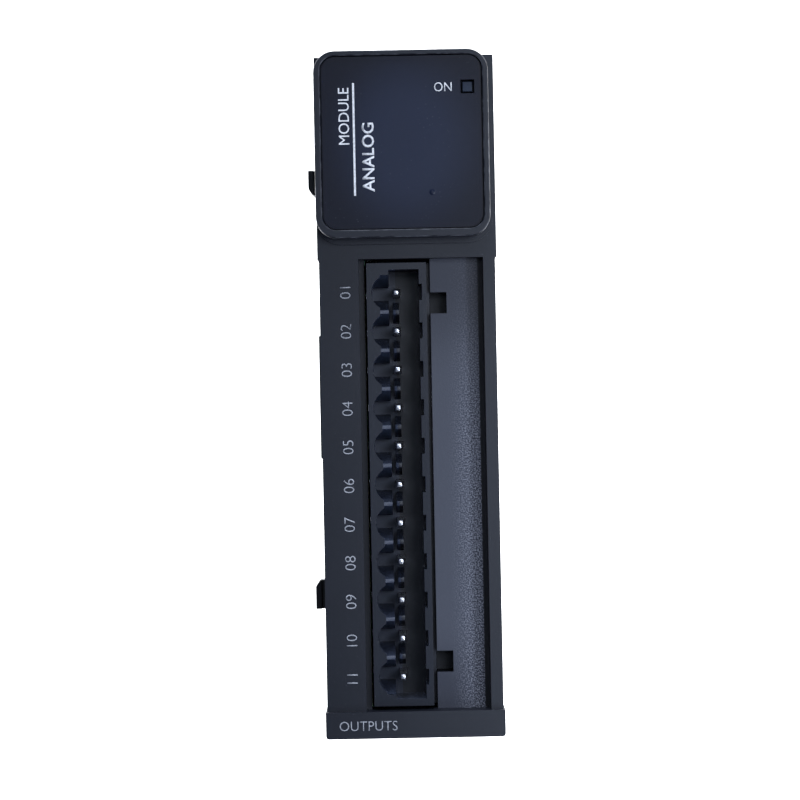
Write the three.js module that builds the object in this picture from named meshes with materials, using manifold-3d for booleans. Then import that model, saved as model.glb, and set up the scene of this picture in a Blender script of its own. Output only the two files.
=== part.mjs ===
// A narrow expansion module for a control cabinet. It clips on a 35 mm rail at its back and takes a
// pluggable eleven-way terminal block on its front. Millimetres. +X right as seen from the front,
// -Y out of the front, +Z up. The origin is the middle of the flat that rests on the rail.
import * as THREE from "three";
import { mergeVertices } from "three/addons/utils/BufferGeometryUtils.js";
import Module from "manifold-3d";

const wasm = await Module();
wasm.setup();

// Driving dimensions
const WIDTH = 23.6;
const HEIGHT = 90;
const DEPTH = 70;
const WALL = 1.6; // wall thickness of both casing shells
const NOSE_RISE = 4.2; // how far the display nose stands in front of the cover
const BAND_RISE = 1.2; // how far the bottom band stands in front of the cover
const BODY_HEIGHT = 89.2; // casing without the nose and the bottom band
const SIDE_RELIEF = 0.2; // side step of the cover beside the terminal bay
const SPLIT_GAP = 0.3; // gap between cover and housing
const COVER_DEPTH = 16.65;

const RAIL_GAP = 35.6; // height of the rail recess
const FOOT_DEPTH = 7; // how far the feet reach behind the rail seat
const HOOK_BITE = 1.8; // how far the fixed hooks and the clip reach behind the rail's lips
const RAIL_LIP = 1.5; // clear depth for the rail's lip
const SEAT_HALF = 15.5; // the raised pad that rests on the rail's lips, half its height
const SEAT_RISE = 0.3;

const PITCH = 5.08;
const PIN_COUNT = 11;
const PIN_SIDE = 1.0;
const PIN_X = -1.5;
const FIRST_PIN_Z = 13.6;
const PIN_CLEARANCE = 0.03;

const LOCK_TRAVEL = 4.5; // the side lock's way up from locked to released
const CLIP_WIDTH = 15.6;

const BOARD_THICK = 1.6;
const MAIN_BOARD_X = -5.6; // face that carries the parts
const LOGIC_BOARD_X = 6.0; // face that looks at the main board
const BOARD_HALF_HEIGHT = 41.5;

// Places that follow from them
const HALF_W = WIDTH / 2;
const NOSE_FRONT = FOOT_DEPTH - DEPTH;
const COVER_FRONT = NOSE_FRONT + NOSE_RISE;
const COVER_BACK = COVER_FRONT + COVER_DEPTH;
const HOUSING_FRONT = COVER_BACK + SPLIT_GAP;
const BODY_TOP = BODY_HEIGHT / 2;
const TOP = HEIGHT / 2;
const INNER_W = HALF_W - WALL;
const INNER_TOP = BODY_TOP - WALL;

// Colours, roughness and metalness of the finishes
const LOOKS = {
  casing: { color: 0x2e323c, roughness: 0.62, metalness: 0 },
  panel: { color: 0x343c4c, roughness: 0.28, metalness: 0 },
  header: { color: 0x22252d, roughness: 0.5, metalness: 0 },
  tin: { color: 0xc8ccd4, roughness: 0.3, metalness: 1 },
  latch: { color: 0x0e1013, roughness: 0.5, metalness: 0 },
  clear: { color: 0xa9b6c4, roughness: 0.15, metalness: 0 },
  lamp: { color: 0xb9c48a, roughness: 0.3, metalness: 0 },
  board: { color: 0x1f5a3a, roughness: 0.45, metalness: 0 },
  chip: { color: 0x17181b, roughness: 0.55, metalness: 0 },
  ferrite: { color: 0x3a3b3f, roughness: 0.7, metalness: 0 },
  copper: { color: 0xb5673a, roughness: 0.35, metalness: 1 },
  can: { color: 0xb4b8bd, roughness: 0.3, metalness: 1 },
  sleeve: { color: 0x1d2746, roughness: 0.4, metalness: 0 },
  label: { color: 0xcfd2d4, roughness: 0.5, metalness: 0 },
};

// Geometry helpers

function block(x0, x1, y0, y1, z0, z1) {
  const g = new THREE.BoxGeometry(x1 - x0, y1 - y0, z1 - z0);
  return g.translate((x0 + x1) / 2, (y0 + y1) / 2, (z0 + z1) / 2);
}

function outline(points) {
  return new THREE.Shape(points.map(([a, b]) => new THREE.Vector2(a, b)));
}

function roundedRectangle(a0, a1, b0, b1, radius) {
  const s = new THREE.Shape();
  s.moveTo(a0 + radius, b0);
  s.lineTo(a1 - radius, b0);
  s.absarc(a1 - radius, b0 + radius, radius, -Math.PI / 2, 0, false);
  s.lineTo(a1, b1 - radius);
  s.absarc(a1 - radius, b1 - radius, radius, 0, Math.PI / 2, false);
  s.lineTo(a0 + radius, b1);
  s.absarc(a0 + radius, b1 - radius, radius, Math.PI / 2, Math.PI, false);
  s.lineTo(a0, b0 + radius);
  s.absarc(a0 + radius, b0 + radius, radius, Math.PI, 1.5 * Math.PI, false);
  return s;
}

function extruded(shape, length, segments = 6) {
  const settings = { depth: length, bevelEnabled: false, curveSegments: segments };
  return new THREE.ExtrudeGeometry(shape, settings);
}

// A shape drawn in X and Z, carried along Y from y0 to y1.
function alongY(shape, y0, y1, segments) {
  return extruded(shape, y1 - y0, segments).rotateX(Math.PI / 2).translate(0, y1, 0);
}

// A shape drawn in Y and Z, carried along X from x0 to x1.
function alongX(shape, x0, x1, segments) {
  const axes = new THREE.Matrix4().makeBasis(
    new THREE.Vector3(0, 1, 0),
    new THREE.Vector3(0, 0, 1),
    new THREE.Vector3(1, 0, 0),
  );
  return extruded(shape, x1 - x0, segments).applyMatrix4(axes).translate(x0, 0, 0);
}

// A round bar along X, with its profile given as [radius, x] pairs from the axis back to the axis.
function turnedAlongX(profile, y, z, segments = 20) {
  const points = profile.map(([r, x]) => new THREE.Vector2(r, x));
  return new THREE.LatheGeometry(points, segments).rotateZ(-Math.PI / 2).translate(0, y, z);
}

// Booleans

function solid(geometry) {
  const bare = geometry.clone();
  bare.deleteAttribute("normal");
  bare.deleteAttribute("uv");
  const merged = mergeVertices(bare, 1e-4);
  return new wasm.Manifold(
    new wasm.Mesh({
      numProp: 3,
      vertProperties: merged.attributes.position.array,
      triVerts: new Uint32Array(merged.index.array),
    }),
  );
}

function asSolid(shape) {
  return shape.isBufferGeometry ? solid(shape) : shape;
}

function join(...shapes) {
  return shapes.map(asSolid).reduce((all, one) => all.add(one));
}

function cut(shape, ...tools) {
  return tools.map(asSolid).reduce((rest, tool) => rest.subtract(tool), asSolid(shape));
}

function geometryOf(shape) {
  if (shape.isBufferGeometry) return shape;
  const mesh = shape.getMesh();
  const geometry = new THREE.BufferGeometry();
  geometry.setAttribute("position", new THREE.BufferAttribute(mesh.vertProperties, 3));
  geometry.setIndex(new THREE.BufferAttribute(mesh.triVerts, 1));
  geometry.computeVertexNormals();
  return geometry;
}

function piece(name, shape, look) {
  const mesh = new THREE.Mesh(geometryOf(shape), new THREE.MeshStandardMaterial(LOOKS[look]));
  mesh.name = name;
  return mesh;
}

// Terminal header's outline and its place in the cover

const HEADER = { left: -5.4, right: 2.5, bottom: -41.0, top: 17.5 };
const HEADER_FRONT = NOSE_FRONT + 5.5;
const HEADER_GAP = 0.3;

// Front cover

const BAY = { left: -6.4, right: 10.0, bottom: -41.5, top: 18.0, floor: COVER_FRONT + 2.8 };
const PLATE_LEFT = 3.0;
const KEY_NOTCHES = [12.15, -35.3]; // middles of the two notches that key the plug
const NOSE = { left: -HALF_W, right: 11.0, bottom: 20.6, top: TOP, radius: 2.8 };
const PANEL = { left: -10.9, right: 10.2, bottom: 21.65, top: 44.35, radius: 1.9 };
const PANEL_INSET = 0.5;
const PANEL_THICK = 1.0;
const PANEL_GAP = 0.12;
const LAMP = { x: 8.3, z: 40.1, window: 1.8 };
const LATCH_TONGUE_HALF = 4;

const NOSE_SEGMENTS = 7;
const SKIRT = { right: 11.4, bottom: 19.9, top: 41, radius: 3.3, rise: 0.6 };

function noseBlock() {
  const { left, right, bottom, top, radius } = NOSE;
  const nose = roundedRectangle(left, right, bottom, top, radius);
  const skirt = roundedRectangle(left, SKIRT.right, SKIRT.bottom, SKIRT.top, SKIRT.radius);
  const back = COVER_FRONT + 0.8;
  return join(
    alongY(nose, NOSE_FRONT, back, NOSE_SEGMENTS),
    alongY(skirt, COVER_FRONT - SKIRT.rise, back, NOSE_SEGMENTS),
  );
}

// A snap tongue reaching back from the cover, with its barb; side is 1 at the top, -1 at the bottom.
function latchTongue(side) {
  const root = INNER_TOP - 1.5;
  const profile = outline(
    [
      [COVER_BACK - 4, root],
      [COVER_BACK + 4.7, root],
      [COVER_BACK + 4.7, root + 1.1],
      [COVER_BACK + 4.2, root + 1.1],
      [COVER_BACK + 2.7, INNER_TOP + 0.9],
      [COVER_BACK + 2.2, INNER_TOP + 0.9],
      [COVER_BACK + 2.2, root + 1.1],
      [COVER_BACK - 2, root + 1.1],
      [COVER_BACK - 2, INNER_TOP + 0.5],
      [COVER_BACK - 4, INNER_TOP + 0.5],
    ].map(([y, z]) => [y, side * z]),
  );
  return alongX(profile, -LATCH_TONGUE_HALF, LATCH_TONGUE_HALF);
}

function frontCover() {
  const bandFront = COVER_FRONT - BAND_RISE;
  const reliefDepth = 12;
  const relief = [-1, 1].map((side) => {
    const edge = side * (HALF_W - SIDE_RELIEF);
    const [x0, x1] = side < 0 ? [-HALF_W - 1, edge] : [edge, HALF_W + 1];
    return block(x0, x1, COVER_FRONT - 1, COVER_FRONT + reliefDepth, BAY.bottom, BAY.top);
  });
  const body = cut(
    block(-HALF_W, HALF_W, COVER_FRONT, COVER_BACK, -BODY_TOP, BODY_TOP),
    ...relief,
  );
  const band = block(-HALF_W, HALF_W, bandFront, COVER_FRONT + 3, -TOP, BAY.bottom);
  const inside = block(
    -INNER_W,
    INNER_W,
    COVER_FRONT + WALL,
    COVER_BACK + 1,
    -INNER_TOP,
    INNER_TOP,
  );
  const noseInside = block(-10, 9.6, NOSE_FRONT + 3, COVER_FRONT + 2, 22.6, INNER_TOP);
  const shell = cut(join(body, noseBlock(), band), inside, noseInside);

  const bayWall = 1.2;
  const bayBlock = block(
    BAY.left - bayWall,
    INNER_W + 0.4,
    COVER_FRONT + WALL - 0.3,
    BAY.floor + WALL,
    -INNER_TOP - 0.4,
    BAY.top + WALL,
  );
  const bay = block(BAY.left, BAY.right, COVER_FRONT - 6, BAY.floor, BAY.bottom, BAY.top);
  const headerWindow = block(
    HEADER.left - HEADER_GAP,
    PLATE_LEFT,
    BAY.floor - 1,
    BAY.floor + 6,
    BAY.bottom,
    BAY.top,
  );
  const shadowGroove = block(
    BAY.right - 0.7,
    BAY.right,
    BAY.floor - 1,
    BAY.floor + 1,
    BAY.bottom,
    BAY.top,
  );
  const keyNotches = KEY_NOTCHES.map((z) =>
    block(PLATE_LEFT - 0.5, PLATE_LEFT + 2.15, BAY.floor - 1, BAY.floor + 4.8, z - 1.4, z + 1.4),
  );
  const keyBosses = KEY_NOTCHES.map((z) =>
    block(PLATE_LEFT, PLATE_LEFT + 3.3, BAY.floor + 0.5, BAY.floor + 6, z - 2.5, z + 2.5),
  );

  const { left, right, bottom, top, radius } = PANEL;
  const panelPocket = alongY(
    roundedRectangle(left, right, bottom, top, radius),
    NOSE_FRONT - 1,
    NOSE_FRONT + PANEL_INSET + PANEL_THICK,
  );
  const half = LAMP.window / 2;
  const lampHole = block(
    LAMP.x - half,
    LAMP.x + half,
    NOSE_FRONT,
    NOSE_FRONT + 4,
    LAMP.z - half,
    LAMP.z + half,
  );
  return cut(
    join(shell, bayBlock, ...keyBosses, latchTongue(1), latchTongue(-1)),
    bay,
    headerWindow,
    shadowGroove,
    ...keyNotches,
    panelPocket,
    lampHole,
  );
}

function displayPanel() {
  const { left, right, bottom, top, radius } = PANEL;
  const shape = roundedRectangle(
    left + PANEL_GAP,
    right - PANEL_GAP,
    bottom + PANEL_GAP,
    top - PANEL_GAP,
    radius - PANEL_GAP,
  );
  const front = NOSE_FRONT + PANEL_INSET;
  const half = LAMP.window / 2;
  const hole = block(
    LAMP.x - half,
    LAMP.x + half,
    front - 1,
    front + PANEL_THICK + 1,
    LAMP.z - half,
    LAMP.z + half,
  );
  return cut(alongY(shape, front, front + PANEL_THICK - 0.02), hole);
}

function lightPipe() {
  const front = NOSE_FRONT + PANEL_INSET + 0.4;
  const wallBack = NOSE_FRONT + 3;
  const square = (half, y0, y1) =>
    block(LAMP.x - half, LAMP.x + half, y0, y1, LAMP.z - half, LAMP.z + half);
  return join(
    square(0.65, front, HOUSING_FRONT - 2.2),
    square(1.15, wallBack + 0.02, wallBack + 0.8),
  );
}

// Rear housing

const SLIDE_Y = -36; // middle of the side lock
const SLIDE_MOUTH = 4.6;
const SLIDE_GROOVE = 6.4;
const GROOVE_FLOOR = HALF_W - 2.3;
const GROOVE_LIP = 0.6;
const UPPER_HOOK = { low: 27.8, high: 31.2 };
const LOWER_HOOK = { low: -29.2, high: -25.2 };
const BUS = { front: -10.6, back: -3.4, half: 9 };
const VENT = { first: -28, pitch: 4, count: 7, wide: 1.8, inner: 1.1, outer: 8.2 };

// Blind pockets and keyways in the right wall that take the next module's lock hooks.
function lockKeyway(hook) {
  const wide = SLIDE_GROOVE / 2;
  const narrow = SLIDE_MOUTH / 2;
  const lip = HALF_W - GROOVE_LIP - 0.1;
  const entryLow = hook.high + 0.4;
  const entryHigh = hook.high + LOCK_TRAVEL + 0.5;
  return join(
    block(GROOVE_FLOOR, HALF_W + 1, SLIDE_Y - wide, SLIDE_Y + wide, entryLow, entryHigh),
    block(GROOVE_FLOOR, lip, SLIDE_Y - wide, SLIDE_Y + wide, hook.low - 0.4, entryLow + 0.5),
    block(lip - 0.2, HALF_W + 1, SLIDE_Y - narrow, SLIDE_Y + narrow, hook.low - 0.4, entryLow + 0.5),
  );
}

function ventSlots(side) {
  const z0 = side > 0 ? INNER_TOP - 0.5 : -BODY_TOP - 1;
  const z1 = side > 0 ? BODY_TOP + 1 : -INNER_TOP + 0.5;
  const slots = [];
  for (let i = 0; i < VENT.count; i++) {
    const y = VENT.first + i * VENT.pitch;
    for (const [x0, x1] of [
      [-VENT.outer, -VENT.inner],
      [VENT.inner, VENT.outer],
    ]) {
      slots.push(block(x0, x1, y - VENT.wide / 2, y + VENT.wide / 2, z0, z1));
    }
  }
  return slots;
}

// Pairs of ribs above and below each board that hold its edges.
function boardGuides() {
  const reach = 1.2;
  const gap = 0.3;
  const ribs = [];
  for (const [x0, x1] of [
    [MAIN_BOARD_X - BOARD_THICK, MAIN_BOARD_X],
    [LOGIC_BOARD_X, LOGIC_BOARD_X + BOARD_THICK],
  ]) {
    for (const [a, b] of [
      [x0 - gap - 1, x0 - gap],
      [x1 + gap, x1 + gap + 1],
    ]) {
      const tip = BOARD_HALF_HEIGHT - reach;
      ribs.push(block(a, b, -26, -8, tip, INNER_TOP + 0.2));
      ribs.push(block(a, b, -26, -8, -INNER_TOP - 0.2, -tip));
    }
  }
  return ribs;
}

function rearHousing() {
  const railHalf = RAIL_GAP / 2;
  const sideRail = (HALF_W * 2 - CLIP_WIDTH - 1) / 2;
  const outside = join(
    block(-HALF_W, HALF_W, HOUSING_FRONT, -SEAT_RISE, -BODY_TOP, BODY_TOP),
    block(-HALF_W, HALF_W, -1, 0, -SEAT_HALF, SEAT_HALF),
    block(-HALF_W, HALF_W, -1, FOOT_DEPTH, railHalf, BODY_TOP),
    block(-HALF_W, sideRail - HALF_W, -1, FOOT_DEPTH, -BODY_TOP, -railHalf),
    block(HALF_W - sideRail, HALF_W, -1, FOOT_DEPTH, -BODY_TOP, -railHalf),
    block(-HALF_W + 1, HALF_W - 1, FOOT_DEPTH - 2.3, FOOT_DEPTH, -38, -22),
  );
  const electronics = block(
    -INNER_W,
    INNER_W,
    HOUSING_FRONT - 1,
    -WALL - 0.2,
    -INNER_TOP,
    INNER_TOP,
  );
  const upperFoot = block(-INNER_W, INNER_W, -3, FOOT_DEPTH - WALL, railHalf + WALL, INNER_TOP);
  const latchWindows = [-1, 1].map((side) => {
    const z0 = side > 0 ? INNER_TOP - 0.5 : -BODY_TOP - 1;
    const z1 = side > 0 ? BODY_TOP + 1 : -INNER_TOP + 0.5;
    const half = LATCH_TONGUE_HALF + 0.3;
    return block(-half, half, COVER_BACK + 1.9, COVER_BACK + 4.5, z0, z1);
  });
  const shell = cut(
    outside,
    electronics,
    upperFoot,
    ...ventSlots(1),
    ...ventSlots(-1),
    ...latchWindows,
  );

  const grooveBacking = block(
    -INNER_W - 0.3,
    1.1 - GROOVE_FLOOR,
    SLIDE_Y - 4.6,
    SLIDE_Y + 4.6,
    -INNER_TOP - 0.4,
    INNER_TOP + 0.4,
  );
  const keywayBacking = [UPPER_HOOK, LOWER_HOOK].map((hook) =>
    block(
      GROOVE_FLOOR - 1.1,
      INNER_W + 0.3,
      SLIDE_Y - 4.6,
      SLIDE_Y + 4.6,
      hook.low - 1.8,
      hook.high + LOCK_TRAVEL + 1.9,
    ),
  );
  const railHooks = [-1, 1].map((side) =>
    block(
      side < 0 ? -10.8 : 4.2,
      side < 0 ? -4.2 : 10.8,
      RAIL_LIP,
      RAIL_LIP + 2.1,
      railHalf - HOOK_BITE,
      railHalf + 0.5,
    ),
  );
  const furnished = join(shell, grooveBacking, ...keywayBacking, ...railHooks, ...boardGuides());

  const wide = SLIDE_GROOVE / 2;
  const narrow = SLIDE_MOUTH / 2;
  const groove = block(
    -HALF_W + GROOVE_LIP,
    -GROOVE_FLOOR,
    SLIDE_Y - wide,
    SLIDE_Y + wide,
    -TOP - 1,
    TOP + 1,
  );
  const grooveMouth = block(
    -HALF_W - 1,
    -HALF_W + GROOVE_LIP + 0.2,
    SLIDE_Y - narrow,
    SLIDE_Y + narrow,
    -TOP - 1,
    TOP + 1,
  );
  const busWindow = (x0, x1) =>
    block(x0, x1, BUS.front - 0.4, BUS.back + 0.4, -BUS.half - 0.4, BUS.half + 0.4);
  return cut(
    furnished,
    groove,
    grooveMouth,
    lockKeyway(UPPER_HOOK),
    lockKeyway(LOWER_HOOK),
    busWindow(-HALF_W - 1, -INNER_W + 0.5),
    busWindow(INNER_W - 0.5, HALF_W + 1),
  );
}

// Moving latches

// One hook of the side lock: a stem and a wider head, with one corner of the head cut away.
function lockHook({ low, high }, cutAtTop) {
  const neck = -HALF_W - 0.7;
  const shoulder = neck - 0.25;
  const tip = -HALF_W - 1.55;
  const taper = 0.9;
  const profile = outline(
    cutAtTop
      ? [
          [neck, low],
          [neck, high],
          [shoulder, high],
          [tip, high - taper],
          [tip, low],
        ]
      : [
          [neck, low],
          [neck, high],
          [tip, high],
          [tip, low + taper],
          [shoulder, low],
        ],
  );
  return join(
    block(neck - 0.1, 1 - HALF_W, SLIDE_Y - 2, SLIDE_Y + 2, low, high),
    alongY(profile, SLIDE_Y - 2.8, SLIDE_Y + 2.8),
  );
}

function lockSlider() {
  const end = BODY_TOP - 0.4;
  const shoulder = -HALF_W + GROOVE_LIP + 0.2;
  return join(
    block(shoulder, -GROOVE_FLOOR - 0.3, SLIDE_Y - 2.9, SLIDE_Y + 2.9, -end, end),
    block(-HALF_W + 0.15, shoulder + 0.1, SLIDE_Y - 2, SLIDE_Y + 2, -end, end),
    lockHook(UPPER_HOOK, false),
    lockHook(LOWER_HOOK, true),
  );
}

function railClip() {
  const half = CLIP_WIDTH / 2;
  const front = 0.6;
  const back = 4.3;
  const shoulder = -RAIL_GAP / 2 - 0.4;
  const nose = -RAIL_GAP / 2 + HOOK_BITE;
  const bottom = 0.4 - BODY_TOP;
  const section = outline([
    [front, bottom],
    [back, bottom],
    [back, shoulder],
    [RAIL_LIP + 1, nose],
    [RAIL_LIP, nose],
    [RAIL_LIP, shoulder],
    [front, shoulder],
  ]);
  const armWindows = [-1, 1].map((side) => {
    const a = side < 0 ? -half + 1.2 : half - 3.4;
    return block(a, a + 2.2, front - 1, back + 1, -36, -24);
  });
  const armBumps = [-1, 1].map((side) => {
    const x = side * half;
    const bump = outline([
      [x - side * 0.4, -31.6],
      [x + side * 0.3, -30.6],
      [x + side * 0.3, -29.6],
      [x - side * 0.4, -28.6],
    ]);
    return alongY(side > 0 ? bump : outline(bump.getPoints().reverse().map((p) => [p.x, p.y])), 1.2, 3.7);
  });
  const toolSlot = block(-2.2, 2.2, front - 1, back + 1, bottom + 1.4, bottom + 3.6);
  return join(cut(alongX(section, -half, half), ...armWindows, toolSlot), ...armBumps);
}

// Terminal header and its contacts

const HEADER_BACK = HEADER_FRONT + 12;
const CELL_FLOOR = HEADER_FRONT + 8.5;
const CELL = { shelf: -3.65, left: -2.5, right: 1.5, scallop: 2.3, throat: 0.9 };
const SHELF_DEPTH = 1.0;

function pinZ(i) {
  return FIRST_PIN_Z - i * PITCH;
}

// The side pocket of one cell: round on the left, narrowing from the shelf to a throat.
function sidePocket(z) {
  const half = CELL.scallop;
  const turn = Math.acos((CELL.left - CELL.shelf) / half);
  const round = new THREE.Shape();
  round.absarc(CELL.left, z, half, Math.PI - turn, Math.PI + turn, false);
  round.lineTo(CELL.shelf, z - half);
  round.lineTo(CELL.left + 0.5, z - half);
  round.lineTo(CELL.left + 0.5, z + half);
  round.lineTo(CELL.shelf, z + half);
  const throatDepth = HEADER_FRONT + 6.5;
  const shelfDepth = HEADER_FRONT + SHELF_DEPTH;
  const funnel = outline([
    [HEADER_FRONT - 1, z - half],
    [shelfDepth, z - half],
    [throatDepth, z - CELL.throat],
    [CELL_FLOOR, z - CELL.throat],
    [CELL_FLOOR, z + CELL.throat],
    [throatDepth, z + CELL.throat],
    [shelfDepth, z + half],
    [HEADER_FRONT - 1, z + half],
  ]);
  return solid(alongY(round, HEADER_FRONT - 1, CELL_FLOOR, 8)).intersect(
    solid(alongX(funnel, CELL.left - 3, CELL.left + 1)),
  );
}

// The low ridge between two neighbouring contacts.
function ridge(z) {
  const profile = outline([
    [CELL_FLOOR + 0.5, z - 1.5],
    [CELL_FLOOR + 0.5, z + 1.5],
    [HEADER_FRONT + 3, z + 0.3],
    [HEADER_FRONT + 3, z - 0.3],
  ]);
  return alongX(profile, PIN_X - 0.45, PIN_X + 0.35);
}

function terminalHeader() {
  const tools = [];
  const ridges = [];
  const hole = PIN_SIDE / 2 + PIN_CLEARANCE;
  for (let i = 0; i < PIN_COUNT; i++) {
    const z = pinZ(i);
    tools.push(sidePocket(z));
    tools.push(
      block(CELL.right - 0.2, HEADER.right - 0.6, HEADER_FRONT - 1, CELL_FLOOR, z - 1.05, z + 1.05),
    );
    tools.push(
      block(PIN_X - hole, PIN_X + hole, CELL_FLOOR - 1, HEADER_BACK + 1, z - hole, z + hole),
    );
    if (i > 0) ridges.push(ridge(z + PITCH / 2));
  }
  const body = block(
    HEADER.left,
    HEADER.right,
    HEADER_FRONT,
    HEADER_BACK,
    HEADER.bottom,
    HEADER.top,
  );
  const trough = block(
    CELL.left,
    CELL.right,
    HEADER_FRONT - 1,
    CELL_FLOOR,
    HEADER.bottom + 0.95,
    HEADER.top - 0.9,
  );
  const shelf = block(
    CELL.shelf,
    CELL.left + 0.5,
    HEADER_FRONT - 1,
    HEADER_FRONT + SHELF_DEPTH,
    pinZ(PIN_COUNT - 1),
    pinZ(0),
  );
  const flange = block(
    HEADER.right - 0.5,
    PLATE_LEFT - 0.08,
    HEADER_FRONT + 3.5,
    HEADER_BACK,
    HEADER.bottom,
    HEADER.top,
  );
  return join(cut(join(body, flange), trough, shelf, ...tools), ...ridges);
}

// A square contact, straight out of the header's back and bent down through the main board.
function terminalPin(z) {
  const half = PIN_SIDE / 2;
  const tip = HEADER_FRONT + 0.5;
  const bend = HEADER_BACK + 0.4;
  const tail = MAIN_BOARD_X - BOARD_THICK - 0.6;
  const taper = outline([
    [tip, z - 0.28],
    [tip + 0.8, z - half],
    [tip + 0.8, z + half],
    [tip, z + 0.28],
  ]);
  const point = solid(alongX(taper, PIN_X - half, PIN_X + half)).intersect(
    solid(
      extruded(
        outline([
          [PIN_X - 0.28, tip],
          [PIN_X + 0.28, tip],
          [PIN_X + half, tip + 0.8],
          [PIN_X - half, tip + 0.8],
        ]),
        PIN_SIDE,
      ).translate(0, 0, z - half),
    ),
  );
  return join(
    point,
    block(PIN_X - half, PIN_X + half, tip + 0.8, bend + PIN_SIDE, z - half, z + half),
    block(tail, PIN_X, bend, bend + PIN_SIDE, z - half, z + half),
  );
}

// Boards and what they carry

const PIN_TAIL_Y = HEADER_BACK + 0.4 + PIN_SIDE / 2;

function mainBoard() {
  const x0 = MAIN_BOARD_X - BOARD_THICK;
  const half = PIN_SIDE / 2 + 0.15;
  const holes = [];
  for (let i = 0; i < PIN_COUNT; i++) {
    const z = pinZ(i);
    holes.push(
      block(x0 - 1, MAIN_BOARD_X + 1, PIN_TAIL_Y - half, PIN_TAIL_Y + half, z - half, z + half),
    );
  }
  const sheet = block(x0, MAIN_BOARD_X, -52, BUS.back, -BOARD_HALF_HEIGHT, BOARD_HALF_HEIGHT);
  const latchClearance = block(x0 - 1, MAIN_BOARD_X + 1, -48, -37, 41, 42);
  return cut(sheet, ...holes, latchClearance);
}

function logicBoard() {
  const top = BOARD_HALF_HEIGHT;
  const shape = outline([
    [-40, -top],
    [BUS.back, -top],
    [BUS.back, top],
    [-43.6, top],
    [-43.6, 35],
    [-40, 35],
  ]);
  return alongX(shape, LOGIC_BOARD_X, LOGIC_BOARD_X + BOARD_THICK);
}

// A box-shaped part on the main board (side 1) or on the logic board's inner face (side -1).
function onBoard(side, height, y0, y1, z0, z1, gap = 0.02) {
  return side > 0
    ? block(MAIN_BOARD_X + gap, MAIN_BOARD_X + height, y0, y1, z0, z1)
    : block(LOGIC_BOARD_X - height, LOGIC_BOARD_X - gap, y0, y1, z0, z1);
}

function flatChip(side, y, z, length, width, height, legs) {
  const standOff = 0.15;
  const [y0, y1] = [y - width / 2, y + width / 2];
  const body = onBoard(side, height, y0, y1, z - length / 2, z + length / 2, standOff);
  const pitch = length / legs;
  const reach = 0.8;
  const rows = [];
  for (let i = 0; i < legs; i++) {
    const middle = z - length / 2 + (i + 0.5) * pitch;
    rows.push(
      onBoard(
        side,
        height / 2,
        y0 - reach,
        y1 + reach,
        middle - pitch / 4,
        middle + pitch / 4,
      ),
    );
  }
  return join(body, ...rows);
}

function capacitor(radius, height, y, z) {
  const foot = MAIN_BOARD_X + 0.02;
  const top = foot + height;
  const profile = [
    [0, foot],
    [radius, foot],
    [radius, foot + 1],
    [radius - 0.25, foot + 1.3],
    [radius, foot + 1.6],
    [radius, top - 0.3],
    [radius - 0.3, top],
    [0, top],
  ];
  return turnedAlongX(profile, y, z);
}

function transformerCore() {
  const x0 = MAIN_BOARD_X + 1.2;
  const outer = block(x0, x0 + 8, -37, -25, -31, -17);
  return cut(
    outer,
    block(x0 + 2, x0 + 6, -38, -24, -28.4, -25.6),
    block(x0 + 2, x0 + 6, -38, -24, -22.4, -19.6),
  );
}

function transformerBobbin() {
  const x0 = MAIN_BOARD_X;
  const winding = cut(
    block(x0 + 3.25, x0 + 7.15, -39.4, -22.6, -28.2, -19.8),
    block(x0 + 3.1, x0 + 7.3, -37.2, -24.8, -25.75, -22.25),
  );
  const posts = [-39.4, -24.2].map((y) => block(x0 + 0.02, x0 + 3.6, y, y + 1.6, -27.5, -20.5));
  return join(winding, ...posts);
}

function powerInductor() {
  return cut(
    onBoard(1, 4.5, -37, -29.5, 32, 39.5),
    block(MAIN_BOARD_X + 3.6, MAIN_BOARD_X + 5, -35, -31.5, 34, 37.5),
  );
}

function linkHalf(x0, x1) {
  return block(x0, x1, -14.4, -9.4, 14, 38);
}

function busPlug() {
  const outer = -HALF_W - 1.2;
  const board = MAIN_BOARD_X - BOARD_THICK - 0.02;
  const shell = block(outer, board, BUS.front, BUS.back, -BUS.half, BUS.half);
  const socket = block(
    outer - 1,
    outer + 3.4,
    BUS.front + 0.8,
    BUS.back - 0.8,
    0.8 - BUS.half,
    BUS.half - 0.8,
  );
  const tongue = block(outer + 0.5, outer + 3.6, -7.6, -6.4, -7, 7);
  return join(cut(shell, socket), tongue);
}

function busSocket() {
  const outer = HALF_W - 0.3;
  const shell = block(LOGIC_BOARD_X + BOARD_THICK + 0.02, outer, -9.6, -4.4, -8, 8);
  return cut(shell, block(outer - 3, outer + 1, -7.9, -6.1, -7.2, 7.2));
}

function powerLamp() {
  const x0 = LOGIC_BOARD_X + BOARD_THICK + 0.02;
  const front = HOUSING_FRONT - 2.0;
  return join(
    block(x0, x0 + 1.5, front + 0.4, front + 1.8, 39.2, 41.0),
    block(x0 + 0.2, x0 + 1.3, front, front + 0.5, 39.6, 40.6),
  );
}

function ratingLabel() {
  const shape = roundedRectangle(-29, -13, -41, -14, 1);
  return alongX(shape, HALF_W, HALF_W + 0.12, 3);
}

// The whole module

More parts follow.
